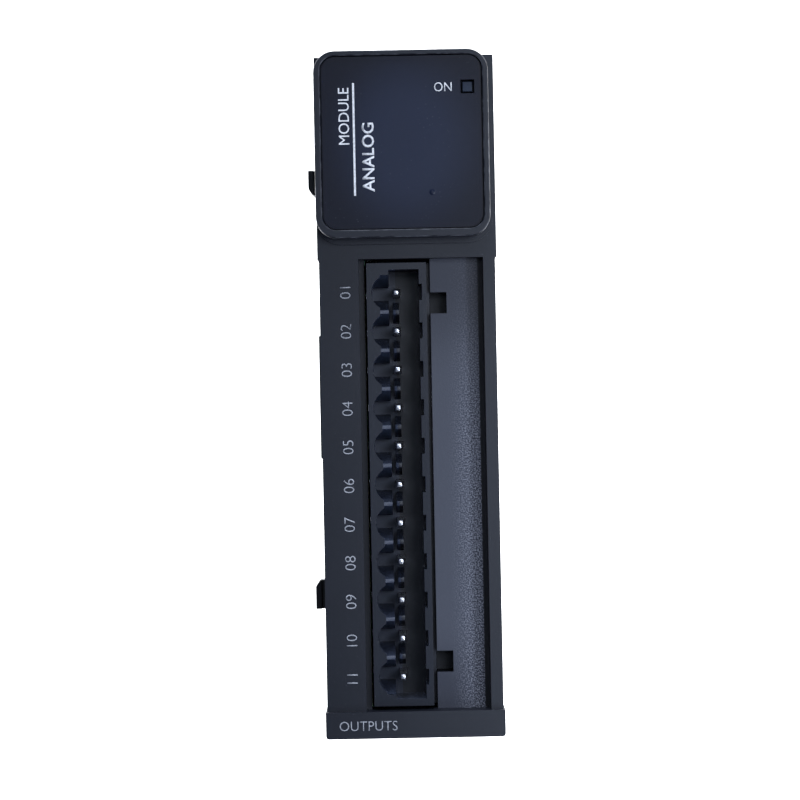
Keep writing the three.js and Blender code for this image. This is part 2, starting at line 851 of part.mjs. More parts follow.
const group = new THREE.Group();
group.add(
  piece("front_cover", frontCover(), "casing"),
  piece("rear_housing", rearHousing(), "casing"),
  piece("display_panel", displayPanel(), "panel"),
  piece("light_pipe", lightPipe(), "clear"),
  piece("power_lamp", powerLamp(), "lamp"),
  piece("lock_slider", lockSlider(), "latch"),
  piece("rail_clip", railClip(), "latch"),
  piece("terminal_header", terminalHeader(), "header"),
  piece("main_board", mainBoard(), "board"),
  piece("logic_board", logicBoard(), "board"),
  piece("bus_plug", busPlug(), "header"),
  piece("bus_socket", busSocket(), "header"),
  piece("link_header", linkHalf(MAIN_BOARD_X + 0.02, -0.02), "header"),
  piece("link_socket", linkHalf(0.02, LOGIC_BOARD_X - 0.02), "header"),
  piece("rating_label", ratingLabel(), "label"),
  piece("transformer_core", transformerCore(), "ferrite"),
  piece("transformer_bobbin", transformerBobbin(), "copper"),
  piece("supply_converter", onBoard(1, 9.5, -38.4, -20, -13, 3), "can"),
  piece("power_inductor", powerInductor(), "ferrite"),
  piece("input_fuse", onBoard(1, 2.4, -40, -34, 24, 27), "chip"),
);
for (let i = 0; i < PIN_COUNT; i++) {
  const number = String(i + 1).padStart(2, "0");
  group.add(piece(`terminal_pin_${number}`, terminalPin(pinZ(i)), "tin"));
}

// Parts with the same body, each at its own place: side, y, z, length, width, height, legs a side
const CHIPS = {
  output_converter_chip: [1, -24, 9, 6.5, 4.4, 1.2, 8],
  output_driver_1: [1, -34, 9, 5, 4, 1.6, 4],
  output_driver_2: [1, -34, 17, 5, 4, 1.6, 4],
  voltage_reference: [1, -24, 17.5, 3, 2, 1.2, 3],
  isolator_1: [1, -9, -16, 10, 7.5, 2.4, 8],
  isolator_2: [1, -9, -30, 10, 7.5, 2.4, 8],
  processor: [-1, -24, 0, 10, 10, 1.5, 12],
  bus_driver: [-1, -9, -20, 5, 4, 1.6, 4],
  logic_regulator: [-1, -32, 24, 6.5, 3.5, 1.7, 3],
};
for (const [name, size] of Object.entries(CHIPS)) {
  group.add(piece(name, flatChip(...size), "chip"));
}
group.add(
  piece("surge_suppressor_1", onBoard(1, 2.3, -41, -38.6, -2, 2), "chip"),
  piece("surge_suppressor_2", onBoard(1, 2.3, -41, -38.6, 29, 33), "chip"),
  piece("clock_crystal", onBoard(-1, 1.6, -26, -23, -16, -11), "can"),
  piece("supply_capacitor_1", capacitor(4, 9.5, -24, 28), "sleeve"),
  piece("supply_capacitor_2", capacitor(3.15, 7.5, -17, 9), "sleeve"),
  piece("output_capacitor", capacitor(3.15, 7.5, -18, -36), "sleeve"),
);

export default group;
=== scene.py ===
"""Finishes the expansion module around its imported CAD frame: softened mouldings, plated contacts,
printed marks, dressed circuit boards, and a pale studio. Metres, in the frame of the CAD."""
import math

import bmesh
import bpy
from mathutils import Matrix, Vector


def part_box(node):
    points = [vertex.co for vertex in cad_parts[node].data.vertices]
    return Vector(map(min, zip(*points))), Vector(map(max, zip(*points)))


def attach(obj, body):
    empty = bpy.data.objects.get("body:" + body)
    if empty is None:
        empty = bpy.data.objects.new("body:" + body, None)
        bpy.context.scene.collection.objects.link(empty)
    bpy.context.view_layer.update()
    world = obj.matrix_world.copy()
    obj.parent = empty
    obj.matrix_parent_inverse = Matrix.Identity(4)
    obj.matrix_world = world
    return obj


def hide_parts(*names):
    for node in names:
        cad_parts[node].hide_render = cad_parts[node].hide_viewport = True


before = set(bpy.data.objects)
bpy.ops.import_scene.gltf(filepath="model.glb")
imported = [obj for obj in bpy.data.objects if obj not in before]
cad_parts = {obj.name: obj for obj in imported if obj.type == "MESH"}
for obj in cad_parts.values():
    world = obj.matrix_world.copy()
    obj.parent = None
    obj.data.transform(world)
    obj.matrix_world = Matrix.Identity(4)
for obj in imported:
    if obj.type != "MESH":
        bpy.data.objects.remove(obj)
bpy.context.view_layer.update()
MM = 0.001
MODULE, SIDE_LOCK, CLIP = "module", "side_lock", "clip"

PINS = [name for name in sorted(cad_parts) if name.startswith("terminal_pin_")]
CHIPS = ("output_converter_chip", "output_driver_1", "output_driver_2", "voltage_reference",
         "isolator_1", "isolator_2", "processor", "bus_driver", "logic_regulator")

# Places on the front, in metres; the front faces -Y
NOSE_STEP, BAND_STEP, PLATE_DEPTH = 4.2 * MM, 1.2 * MM, 2.8 * MM
NOSE_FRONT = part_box("front_cover")[0].y
PANEL_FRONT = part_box("display_panel")[0].y
HEADER_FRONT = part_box("terminal_header")[0].y
HEADER_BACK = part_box("terminal_header")[1].y
COVER_FRONT = NOSE_FRONT + NOSE_STEP
BAND_FRONT = COVER_FRONT - BAND_STEP
PLATE_FLOOR = COVER_FRONT + PLATE_DEPTH
PIN_MIDDLES = [(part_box(name)[0].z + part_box(name)[1].z) / 2 for name in PINS]
PIN_PITCH = abs(PIN_MIDDLES[0] - PIN_MIDDLES[1])
POCKET_EDGE = -1.6  # mm; the header's pockets end here, left of the contacts

INK_DEPTH = 0.03 * MM
MERGE_DISTANCE = 0.002 * MM
FLAT_ANGLE = math.radians(0.4)    # faces bent less than this become one face
ROUND_ANGLE = math.radians(24)    # edges bent more than this are rounded
CREASE_ANGLE = math.radians(50)   # edges bent more than this are shaded sharp
FACE_WEIGHT = 60                  # how far broad faces rule the shading of the rounded edges


def mm(*values):
    return tuple(value * MM for value in values)


# ---------------------------------------------------------------- node helpers


def add(tree, kind, inputs=None, **settings):
    """One node of that kind, with its settings made and its inputs given a value or a link."""
    made = tree.nodes.new(kind)
    for key, value in settings.items():
        setattr(made, key, value)
    for key, value in (inputs or {}).items():
        if isinstance(value, bpy.types.NodeSocket):
            tree.links.new(value, made.inputs[key])
        else:
            made.inputs[key].default_value = value
    return made


def new_group(name, inputs, outputs, kind="ShaderNodeTree"):
    """An empty node group with named sockets, and its input and output nodes."""
    tree = bpy.data.node_groups.new(name, kind)
    for label, socket, value in inputs:
        made = tree.interface.new_socket(label, in_out="INPUT", socket_type=socket)
        made.default_value = value
    for label, socket in outputs:
        tree.interface.new_socket(label, in_out="OUTPUT", socket_type=socket)
    return tree, tree.nodes.new("NodeGroupInput"), tree.nodes.new("NodeGroupOutput")


def object_place(tree):
    """Where a point lies on its object, in metres."""
    return add(tree, "ShaderNodeTexCoord").outputs["Object"]


def per_metre(tree, size_mm):
    """The scale of a texture whose features are size_mm across."""
    return add(tree, "ShaderNodeMath", {0: 1000.0, 1: size_mm}, operation="DIVIDE").outputs[0]


def product(tree, first, second, **settings):
    return add(tree, "ShaderNodeMath", {0: first, 1: second}, operation="MULTIPLY", **settings).outputs[0]


def ramp(tree, value, start, end, low=0.0, high=1.0, smooth=False):
    """Runs from low to high while the value goes from start to end."""
    limits = {"Value": value, "From Min": start, "From Max": end, "To Min": low, "To Max": high}
    curve = "SMOOTHSTEP" if smooth else "LINEAR"
    return add(tree, "ShaderNodeMapRange", limits, interpolation_type=curve).outputs[0]


def ranged(tree, value, low, high):
    """A value from 0 to 1 stretched to run from low to high."""
    return ramp(tree, value, 0.0, 1.0, low, high)


def mixed(tree, factor, first, second):
    """A colour between two others."""
    made = add(tree, "ShaderNodeMix", data_type="RGBA")
    for index, value in ((0, factor), (6, first), (7, second)):
        if isinstance(value, bpy.types.NodeSocket):
            tree.links.new(value, made.inputs[index])
        else:
            made.inputs[index].default_value = value
    return made.outputs[2]


def rgb(red, green, blue):
    return (red, green, blue, 1.0)


# ---------------------------------------------------------------- shared effects

FLOAT, VECTOR, WHOLE, GEOMETRY = (f"NodeSocket{kind}" for kind in ("Float", "Vector", "Int", "Geometry"))


def build_grain_group():
    """Fine pitted texture of a spark-eroded mould, with slow cloudiness under it."""
    tree, given, out = new_group(
        "moulded_grain",
        [("Grain Size mm", FLOAT, 0.15), ("Cloud Size mm", FLOAT, 9.0)],
        [("Grain", FLOAT), ("Clouds", FLOAT)],
    )
    place = object_place(tree)
    pits = add(tree, "ShaderNodeTexNoise",
               {"Vector": place, "Scale": per_metre(tree, given.outputs["Grain Size mm"]),
                "Detail": 3.0, "Roughness": 0.6})
    clouds = add(tree, "ShaderNodeTexNoise",
                 {"Vector": place, "Scale": per_metre(tree, given.outputs["Cloud Size mm"]), "Detail": 4.0})
    tree.links.new(pits.outputs["Fac"], out.inputs["Grain"])
    tree.links.new(clouds.outputs["Fac"], out.inputs["Clouds"])
    return tree


def build_rub_and_glint_group():
    """Where handling has rubbed the edges, paled also as a painted highlight along them: the rounded edges
    carry the attribute named rub.
    """
    tree, given, out = new_group(
        "edge_rub_and_glint",
        [("Amount", FLOAT, 0.5), ("Patch Size mm", FLOAT, 1.2)],
        [("Mask", FLOAT)],
    )
    scale = per_metre(tree, given.outputs["Patch Size mm"])
    patches = add(tree, "ShaderNodeTexNoise", {"Vector": object_place(tree), "Scale": scale, "Detail": 4.0})
    broken = ramp(tree, patches.outputs["Fac"], 0.42, 0.68)
    edge = add(tree, "ShaderNodeAttribute", attribute_name="rub")
    rubbed_and_glinting = product(tree, edge.outputs["Fac"], broken)
    tree.links.new(product(tree, rubbed_and_glinting, given.outputs["Amount"], use_clamp=True), out.inputs["Mask"])
    return tree


def build_dust_group():
    """Fine pale specks that settle on plastic, thicker in some places than in others."""
    tree, given, out = new_group(
        "fine_dust",
        [("Amount", FLOAT, 0.2), ("Speck Size mm", FLOAT, 0.5)],
        [("Mask", FLOAT)],
    )
    place = object_place(tree)
    scale = per_metre(tree, given.outputs["Speck Size mm"])
    cells = add(tree, "ShaderNodeTexVoronoi", {"Vector": place, "Scale": scale})
    specks = ramp(tree, cells.outputs["Distance"], 0.16, 0.04)
    drift = add(tree, "ShaderNodeTexNoise", {"Vector": place, "Scale": 160.0, "Detail": 3.0})
    thick = ramp(tree, drift.outputs["Fac"], 0.5, 0.7)
    settled = product(tree, specks, thick)
    tree.links.new(product(tree, settled, given.outputs["Amount"], use_clamp=True), out.inputs["Mask"])
    return tree


GRAIN = build_grain_group()
RUB_AND_GLINT = build_rub_and_glint_group()
DUST = build_dust_group()


def grouped(tree, group, **inputs):
    """The outputs of a shared effect placed in a material with its own values."""
    made = tree.nodes.new("ShaderNodeGroup")
    made.node_tree = group
    for key, value in inputs.items():
        made.inputs[key.replace("_", " ")].default_value = value
    return made.outputs


# ---------------------------------------------------------------- materials


def material(name):
    """A new material, its node tree and its main shader."""
    made = bpy.data.materials.new(name)
    made.use_nodes = True
    tree = made.node_tree
    return made, tree, tree.nodes["Principled BSDF"]


def bumped(tree, shader, height, depth_mm):
    """Gives the shader a relief that is depth_mm deep."""
    bump = add(tree, "ShaderNodeBump", {"Height": height, "Strength": 1.0, "Distance": depth_mm * MM})
    tree.links.new(bump.outputs[0], shader.inputs["Normal"])


def with_painted_light(tree, colour, amount):
    """A colour paled towards the right side and the foot of the module by painted light."""
    left, right, high, low = mm(-11, 11, 24, 4)
    spot = add(tree, "ShaderNodeSeparateXYZ", {0: object_place(tree)}).outputs
    across = ramp(tree, spot["X"], left, right, 0.0, amount)
    down = ramp(tree, spot["Z"], high, low, 0.35, 1.0)
    return mixed(tree, product(tree, across, down), colour, rgb(0.034, 0.037, 0.044))


def moulded_plastic(name, colour, pale, roughness, grain_mm, depth_mm, rub=0.35, shine=0.32,
                    fleck=0.35, painted_light=0.0, rub_and_glint_tone=0.02):
    """Injection-moulded plastic: pitted grain, cloudy colour, rubbed edges that also carry a painted
    highlight, a trace of dust, and where asked painted light towards the right side and the foot.
    """
    made, tree, shader = material(name)
    grain = grouped(tree, GRAIN, Grain_Size_mm=grain_mm, Cloud_Size_mm=8.0)
    rub_and_glint = grouped(tree, RUB_AND_GLINT, Amount=rub)
    dusty = grouped(tree, DUST, Amount=0.06)
    cloudy = mixed(tree, grain["Clouds"], rgb(*colour), rgb(*pale))
    surface = mixed(tree, ramp(tree, grain["Grain"], 0.40, 0.62, 0.0, fleck), cloudy, rgb(*pale))
    # Painted light: the colour pales towards the right side and the foot.
    if painted_light:
        surface = with_painted_light(tree, surface, painted_light)
    # Paler rounded edges: real rub, and with a high amount and tone a painted highlight along the edges.
    rubbed_and_glinting = mixed(tree, rub_and_glint["Mask"], surface, rgb(*[min(1, 2.4 * c + rub_and_glint_tone) for c in pale]))
    final = mixed(tree, dusty["Mask"], rubbed_and_glinting, rgb(0.35, 0.36, 0.38))
    tree.links.new(final, shader.inputs["Base Color"])
    rough = ranged(tree, grain["Clouds"], roughness - 0.05, roughness + 0.05)
    smoother = product(tree, rub_and_glint["Mask"], -0.15)
    total = add(tree, "ShaderNodeMath", {0: rough, 1: smoother}, operation="ADD")
    tree.links.new(total.outputs[0], shader.inputs["Roughness"])
    bumped(tree, shader, grain["Grain"], depth_mm)
    shader.inputs["Specular IOR Level"].default_value = shine
    return made


def from_panel_middle(tree, place):
    """0 in the middle of the inset panel, growing to about 1 at its edges."""
    half_width, half_height, middle_z = 10.5, 12.5, 33.0
    centred = add(tree, "ShaderNodeMapping",
                  {"Vector": place, "Location": (-0.02, 0.0, -middle_z / half_height),
                   "Scale": (1 / (half_width * MM), 0.0, 1 / (half_height * MM))})
    return add(tree, "ShaderNodeVectorMath", {0: centred.outputs[0]}, operation="LENGTH").outputs["Value"]


def smooth_film():
    """Satin film of the inset panel: faint ripple and smears, painted shade darkening its edges, and one
    moulding pip.
    """
    made, tree, shader = material("panel_film")
    place = object_place(tree)
    stretched = add(tree, "ShaderNodeMapping", {"Vector": place, "Scale": (1.0, 1.0, 0.35)})
    smears = add(tree, "ShaderNodeTexNoise",
                 {"Vector": stretched.outputs[0], "Scale": 260.0, "Detail": 5.0, "Roughness": 0.62})
    dusty = grouped(tree, DUST, Amount=0.10, Speck_Size_mm=0.7)
    rub_and_glint = grouped(tree, RUB_AND_GLINT, Amount=0.2)
    # Painted shade: the film darkens from the middle of the panel towards its edges.
    edges = ramp(tree, from_panel_middle(tree, place), 0.35, 1.15, smooth=True)
    inner = mixed(tree, smears.outputs["Fac"], rgb(0.0085, 0.0135, 0.0320), rgb(0.0105, 0.0160, 0.0370))
    tone = mixed(tree, edges, inner, rgb(0.0016, 0.0030, 0.0100))
    rubbed_and_glinting = mixed(tree, rub_and_glint["Mask"], tone, rgb(0.06, 0.07, 0.09))
    final = mixed(tree, dusty["Mask"], rubbed_and_glinting, rgb(0.3, 0.32, 0.35))
    tree.links.new(final, shader.inputs["Base Color"])
    tree.links.new(ranged(tree, smears.outputs["Fac"], 0.27, 0.34), shader.inputs["Roughness"])
    ripple = grouped(tree, GRAIN, Grain_Size_mm=0.5, Cloud_Size_mm=14.0)["Clouds"]
    pip_middle = mm(3.5, PANEL_FRONT / MM, 26.4)
    from_pip = add(tree, "ShaderNodeVectorMath", {0: place, 1: pip_middle}, operation="DISTANCE")
    pip = ramp(tree, from_pip.outputs["Value"], 0.42 * MM, 0.12 * MM, 0.0, 4.5, smooth=True)
    height = add(tree, "ShaderNodeMath", {0: ripple, 1: pip}, operation="ADD")
    bumped(tree, shader, height.outputs[0], 0.02)
    shader.inputs["Specular IOR Level"].default_value = 0.18
    return made


def eroded_plate():
    """The bay's plate: smooth on its left, spark-eroded towards its right and foot, where its grain carries
    painted glints; painted shade darkens it under the nose and above the band, and a painted sheen lights
    its middle.
    """
    made, tree, shader = material("eroded_plate")
    spot = add(tree, "ShaderNodeSeparateXYZ", {0: object_place(tree)}).outputs
    grain = grouped(tree, GRAIN, Grain_Size_mm=0.20, Cloud_Size_mm=6.0)
    across = ramp(tree, spot["X"], 4.6 * MM, 9.2 * MM, smooth=True)
    down = ramp(tree, spot["Z"], 12 * MM, -6 * MM, 0.15, 1.0)
    coarse = product(tree, across, down)
    # Painted shade under the nose and above the band, painted sheen on the middle of the plate.
    under_nose = ramp(tree, spot["Z"], 15 * MM, 2 * MM, smooth=True)
    over_band = ramp(tree, spot["Z"], -39 * MM, -30 * MM, smooth=True)
    painted_lit_middle = product(tree, under_nose, over_band)
    plain = mixed(tree, grain["Clouds"], rgb(0.026, 0.030, 0.044), rgb(0.040, 0.044, 0.060))
    tone = mixed(tree, painted_lit_middle, plain, rgb(0.060, 0.066, 0.086))
    # Bright specks in the coarse grain are painted glints; the dark specks are pits.
    painted_glints = product(tree, ramp(tree, grain["Grain"], 0.47, 0.62), coarse)
    pits = product(tree, ramp(tree, grain["Grain"], 0.47, 0.38), coarse)
    with_painted_glints = mixed(tree, painted_glints, tone, rgb(0.27, 0.28, 0.33))
    pitted = mixed(tree, pits, with_painted_glints, rgb(0.010, 0.012, 0.022))
    rub_and_glint = grouped(tree, RUB_AND_GLINT, Amount=0.2)
    tree.links.new(mixed(tree, rub_and_glint["Mask"], pitted, rgb(0.20, 0.21, 0.24)), shader.inputs["Base Color"])
    tree.links.new(ranged(tree, grain["Clouds"], 0.36, 0.46), shader.inputs["Roughness"])
    bumped(tree, shader, product(tree, grain["Grain"], ranged(tree, coarse, 0.25, 1.0)), 0.06)
    shader.inputs["Specular IOR Level"].default_value = 0.32
    return made


def bare_metal(name, colour, dull, roughness, line_mm=0.06):
    """Plated or drawn metal with fine lengthwise lines and cloudy tarnish."""
    made, tree, shader = material(name)
    place = object_place(tree)
    drawn = add(tree, "ShaderNodeMapping", {"Vector": place, "Scale": (1.0, 0.12, 1.0)})
    lines = add(tree, "ShaderNodeTexNoise",
                {"Vector": drawn.outputs[0], "Scale": 1.0 / (line_mm * MM), "Detail": 3.0})
    tarnish = add(tree, "ShaderNodeTexNoise", {"Vector": place, "Scale": 900.0, "Detail": 4.0})
    tree.links.new(mixed(tree, tarnish.outputs["Fac"], rgb(*colour), rgb(*dull)),
                   shader.inputs["Base Color"])
    tree.links.new(ranged(tree, lines.outputs["Fac"], roughness - 0.08, roughness + 0.12),
                   shader.inputs["Roughness"])
    bumped(tree, shader, lines.outputs["Fac"], depth_mm=0.0012)
    shader.inputs["Metallic"].default_value = 1.0
    return made


def clear_resin(name, colour, roughness, coat=0.3, shine=0.5):
    """Slightly milky clear plastic, for the light pipe and the lamp's lens."""
    made, tree, shader = material(name)
    haze = add(tree, "ShaderNodeTexNoise", {"Vector": object_place(tree), "Scale": 700.0, "Detail": 3.0})
    paler = tuple(min(1.0, c * 1.35) for c in colour)
    tree.links.new(mixed(tree, haze.outputs["Fac"], rgb(*colour), rgb(*paler)),
                   shader.inputs["Base Color"])
    tree.links.new(ranged(tree, haze.outputs["Fac"], roughness, roughness + 0.1),
                   shader.inputs["Roughness"])
    shader.inputs["Coat Weight"].default_value = coat
    shader.inputs["Specular IOR Level"].default_value = shine
    return made


def solder_resist():
    """Green circuit board: resist over faint copper runs."""
    made, tree, shader = material("solder_resist")
    place = object_place(tree)
    turned = add(tree, "ShaderNodeMapping", {"Vector": place, "Rotation": (0.0, math.pi / 2, 0.0)})
    runs = add(tree, "ShaderNodeTexBrick",
               {"Vector": turned.outputs[0], "Scale": 420.0, "Mortar Size": 0.16, "Mortar Smooth": 0.2,
                "Color1": rgb(0.012, 0.085, 0.04), "Color2": rgb(0.016, 0.11, 0.05),
                "Mortar": rgb(0.03, 0.17, 0.08)})
    runs.offset = 0.37
    clouds = add(tree, "ShaderNodeTexNoise", {"Vector": place, "Scale": 120.0, "Detail": 4.0})
    dull = ranged(tree, clouds.outputs["Fac"], 0.0, 0.5)
    tree.links.new(mixed(tree, dull, runs.outputs["Color"], rgb(0.01, 0.06, 0.03)),
                   shader.inputs["Base Color"])
    tree.links.new(ranged(tree, clouds.outputs["Fac"], 0.25, 0.45), shader.inputs["Roughness"])
    bumped(tree, shader, runs.outputs["Fac"], 0.02)
    return made


def print_ink(name, colour):
    """Pad-printed ink, slightly broken where the pad lifted."""
    made, tree, shader = material(name)
    skips = add(tree, "ShaderNodeTexNoise", {"Vector": object_place(tree), "Scale": 4200.0, "Detail": 2.0})
    covered = ramp(tree, skips.outputs["Fac"], 0.35, 0.6)
    duller = tuple(c * 0.72 for c in colour)
    tree.links.new(mixed(tree, covered, rgb(*duller), rgb(*colour)), shader.inputs["Base Color"])
    tree.links.new(ranged(tree, skips.outputs["Fac"], 0.45, 0.7), shader.inputs["Roughness"])
    return made


# Casing: its strong, pale edge rub is a painted highlight as well as wear, and its painted light pales it
# towards the right and the foot.
CASING = moulded_plastic("casing_plastic", (0.0036, 0.0052, 0.0100), (0.0062, 0.0084, 0.0150),
                         roughness=0.42, grain_mm=0.16, depth_mm=0.010, rub=0.9, painted_light=0.50, rub_and_glint_tone=0.075)
PLATE = eroded_plate()
SIDES = moulded_plastic("casing_sides", (0.0048, 0.0065, 0.0115), (0.0110, 0.0136, 0.0215),
                        roughness=0.48, grain_mm=0.42, depth_mm=0.055, fleck=0.6)
HEADER_PLASTIC = moulded_plastic("header_plastic", (0.0070, 0.0095, 0.0160), (0.0100, 0.0130, 0.0210),
                                 roughness=0.36, grain_mm=0.4, depth_mm=0.006, rub=0.25)
# Paler copy of the header plastic for the pockets: painted light in the recesses.
HEADER_CELLS_PAINTED_LIGHT = moulded_plastic("header_cells_painted_light", (0.020, 0.028, 0.050), (0.030, 0.040, 0.068),
                               roughness=0.36, grain_mm=0.4, depth_mm=0.006, rub=0.25)
# Paler, glossier copy for the up-facing slopes and the notch lips: painted highlight.
HEADER_PAINTED_HIGHLIGHT = moulded_plastic("header_painted_highlight", (0.030, 0.037, 0.058), (0.048, 0.058, 0.085),
                                roughness=0.24, grain_mm=0.4, depth_mm=0.010, rub=0.3, shine=0.5)
LATCH_PLASTIC = moulded_plastic("latch_plastic", (0.0035, 0.004, 0.005), (0.006, 0.0065, 0.008),
                                roughness=0.38, grain_mm=0.3, depth_mm=0.006, rub=0.25)
PANEL_FILM = smooth_film()
TIN = bare_metal("tin_plate", (0.82, 0.83, 0.86), (0.62, 0.63, 0.66), 0.26)
GOLD = bare_metal("gold_flash", (0.93, 0.68, 0.30), (0.72, 0.49, 0.20), 0.24)
SOLDER = bare_metal("solder", (0.66, 0.67, 0.70), (0.42, 0.43, 0.46), 0.32, line_mm=0.2)
COPPER = bare_metal("enamelled_wire", (0.72, 0.30, 0.13), (0.50, 0.19, 0.08), 0.28)
CAN = bare_metal("tinned_can", (0.60, 0.61, 0.63), (0.45, 0.46, 0.48), 0.30, line_mm=0.12)
PIPE_RESIN = clear_resin("light_pipe_resin", (0.020, 0.028, 0.045), 0.34, coat=0.0, shine=0.15)
LAMP_RESIN = clear_resin("lamp_resin", (0.55, 0.6, 0.38), 0.25)
BOARD = solder_resist()
BOARD_EDGE = moulded_plastic("board_edge", (0.20, 0.19, 0.09), (0.34, 0.32, 0.17),
                             roughness=0.7, grain_mm=0.25, depth_mm=0.02, rub=0.0)
EPOXY = moulded_plastic("chip_epoxy", (0.010, 0.010, 0.011), (0.018, 0.018, 0.019),
                        roughness=0.55, grain_mm=0.08, depth_mm=0.006, rub=0.1)
FERRITE = moulded_plastic("ferrite", (0.035, 0.035, 0.038), (0.06, 0.06, 0.064),
                          roughness=0.62, grain_mm=0.12, depth_mm=0.02, rub=0.4)
SLEEVE = moulded_plastic("shrink_sleeve", (0.010, 0.014, 0.045), (0.016, 0.021, 0.06),
                         roughness=0.3, grain_mm=0.5, depth_mm=0.004, rub=0.1)
LABEL = print_ink("label_film", (0.40, 0.41, 0.43))
INK = print_ink("print_ink", (0.86, 0.87, 0.88))
GREY_INK = print_ink("grey_ink", (0.42, 0.43, 0.46))
DARK_INK = print_ink("dark_ink", (0.03, 0.032, 0.036))


# ---------------------------------------------------------------- mesh helpers


def finish_mesh(piece):
    """Gives a piece weighted normals and returns it with every modifier turned into plain mesh."""
    weigh = piece.modifiers.new("weighted", "WEIGHTED_NORMAL")
    weigh.keep_sharp = True
    weigh.weight = FACE_WEIGHT
    return flattened(piece)


def flattened(piece):
    """The piece with its modifiers turned into plain mesh."""
    bpy.context.view_layer.update()
    seen = piece.evaluated_get(bpy.context.evaluated_depsgraph_get())
    mesh = bpy.data.meshes.new_from_object(seen, preserve_all_data_layers=True,
                                           depsgraph=bpy.context.evaluated_depsgraph_get())
    piece.modifiers.clear()
    old = piece.data
    piece.data = mesh
    if old.users == 0:
        bpy.data.meshes.remove(old)
    return piece


def linked(name, mesh):
    """A mesh as an object in the scene, at the origin."""
    piece = bpy.data.objects.new(name, mesh)
    bpy.context.scene.collection.objects.link(piece)
    return piece


def set_coat(mesh, coat):
    """Gives every face of a mesh one material."""
    mesh.materials.clear()
    mesh.materials.append(coat)
    for face in mesh.polygons:
        face.material_index = 0


def unrounded_edges(shape, rounded):
    """The bent edges that touch no face already made by rounding."""
    return [edge for edge in shape.edges
            if edge.is_manifold and edge.calc_face_angle(0.0) > ROUND_ANGLE
            and rounded.isdisjoint(edge.link_faces)]


def round_edges(shape, radius, segments, edges):
    """Bevels the edges and returns the new faces."""
    return bmesh.ops.bevel(shape, geom=edges, offset=radius * MM, offset_type="OFFSET",
                           segments=segments, profile=0.5, affect="EDGES", clamp_overlap=True,
                           harden_normals=False)["faces"]


def softened(node, body, coats, rounds, segments=3, coat_line_x=None):
    """A CAD node's shape with its edges rounded, standing for that node. rounds is a list of
    (radius in mm, test on an edge's middle), widest first; the last one takes every edge left.
    coats is a list of (material, test on a face); faces are split at coat_line_x (mm) before it."""
    shape = bmesh.new()
    shape.from_mesh(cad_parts[node].data)
    bmesh.ops.remove_doubles(shape, verts=shape.verts, dist=MERGE_DISTANCE)
    bmesh.ops.dissolve_limit(shape, angle_limit=FLAT_ANGLE, verts=shape.verts, edges=shape.edges)
    rub = shape.verts.layers.float.new("rub")
    rounded = set()
    for radius, belongs in rounds:
        edges = [e for e in unrounded_edges(shape, rounded)
                 if belongs is None or belongs((e.verts[0].co + e.verts[1].co) / 2 / MM)]
        if edges:
            rounded.update(round_edges(shape, radius, segments, edges))
    for vert in shape.verts:
        vert[rub] = 1.0 if vert.link_faces and rounded.issuperset(vert.link_faces) else 0.0
    if coat_line_x is not None:
        bmesh.ops.bisect_plane(shape, geom=shape.verts[:] + shape.edges[:] + shape.faces[:],
                               plane_co=mm(coat_line_x, 0, 0), plane_no=(1, 0, 0))
    mesh = bpy.data.meshes.new(node + "_soft")
    for coat, _ in coats:
        mesh.materials.append(coat)
    for face in shape.faces:
        face.smooth = True
        centre = face.calc_center_median() / MM
        for index, (_, belongs) in enumerate(coats):
            if belongs is None or belongs(centre, face.normal):
                face.material_index = index
                break
    for edge in shape.edges:
        if edge.is_manifold and edge.calc_face_angle(0.0) > CREASE_ANGLE:
            edge.smooth = False
    shape.to_mesh(mesh)
    shape.free()
    piece = finish_mesh(linked(node + "_moulding", mesh))
    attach(piece, body)
    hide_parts(node)


def thickened(mesh, depth):
    """Gives flat print a depth towards the back."""
    thick = bmesh.new()
    thick.from_mesh(mesh)
    bmesh.ops.remove_doubles(thick, verts=thick.verts, dist=0.001 * MM)
    skin = bmesh.ops.extrude_face_region(thick, geom=thick.faces[:])
    moved = [part for part in skin["geom"] if isinstance(part, bmesh.types.BMVert)]
    bmesh.ops.translate(thick, verts=moved, vec=(0, depth, 0))
    bmesh.ops.recalc_face_normals(thick, faces=thick.faces)
    thick.to_mesh(mesh)
    thick.free()


def text_piece(name, words, cap_mm, place, upright=True, coat=INK, bold=0.0, length_mm=None):
    """Print on a front face: words with capitals cap_mm high, its middle at place (mm).
    upright False turns it a quarter turn, so that it reads upwards."""
    curve = bpy.data.curves.new(name, "FONT")
    curve.body = words
    curve.align_x = "CENTER"
    curve.align_y = "CENTER"
    curve.size = 1.0
    curve.offset = bold
    curve.resolution_u = 3
    source = bpy.data.objects.new(name + "_curve", curve)
    bpy.context.scene.collection.objects.link(source)
    bpy.context.view_layer.update()
    depsgraph = bpy.context.evaluated_depsgraph_get()
    mesh = bpy.data.meshes.new_from_object(source.evaluated_get(depsgraph), depsgraph=depsgraph)
    bpy.data.objects.remove(source)
    xs = [v.co.x for v in mesh.vertices]
    ys = [v.co.y for v in mesh.vertices]
    middle = Vector(((min(xs) + max(xs)) / 2, (min(ys) + max(ys)) / 2, 0))
    scale = cap_mm * MM / (max(ys) - min(ys))
    across = scale if length_mm is None else length_mm * MM / (max(xs) - min(xs))
    mesh.transform(Matrix.Translation(-middle))
    mesh.transform(Matrix.Diagonal((across, scale, 1, 1)))
    if not upright:
        mesh.transform(Matrix.Rotation(math.pi / 2, 4, "Z"))
    mesh.transform(Matrix.Rotation(math.pi / 2, 4, "X"))
    mesh.transform(Matrix.Translation(Vector(place) * MM))
    thickened(mesh, INK_DEPTH)
    set_coat(mesh, coat)
    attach(linked(name, mesh), MODULE)


# ---------------------------------------------------------------- repeating things


def line_of_points(tree, count, first, step):
    """Points in a straight line, one step apart."""
    return add(tree, "GeometryNodeMeshLine",
               {"Count": count, "Start Location": first, "Offset": step}).outputs[0]


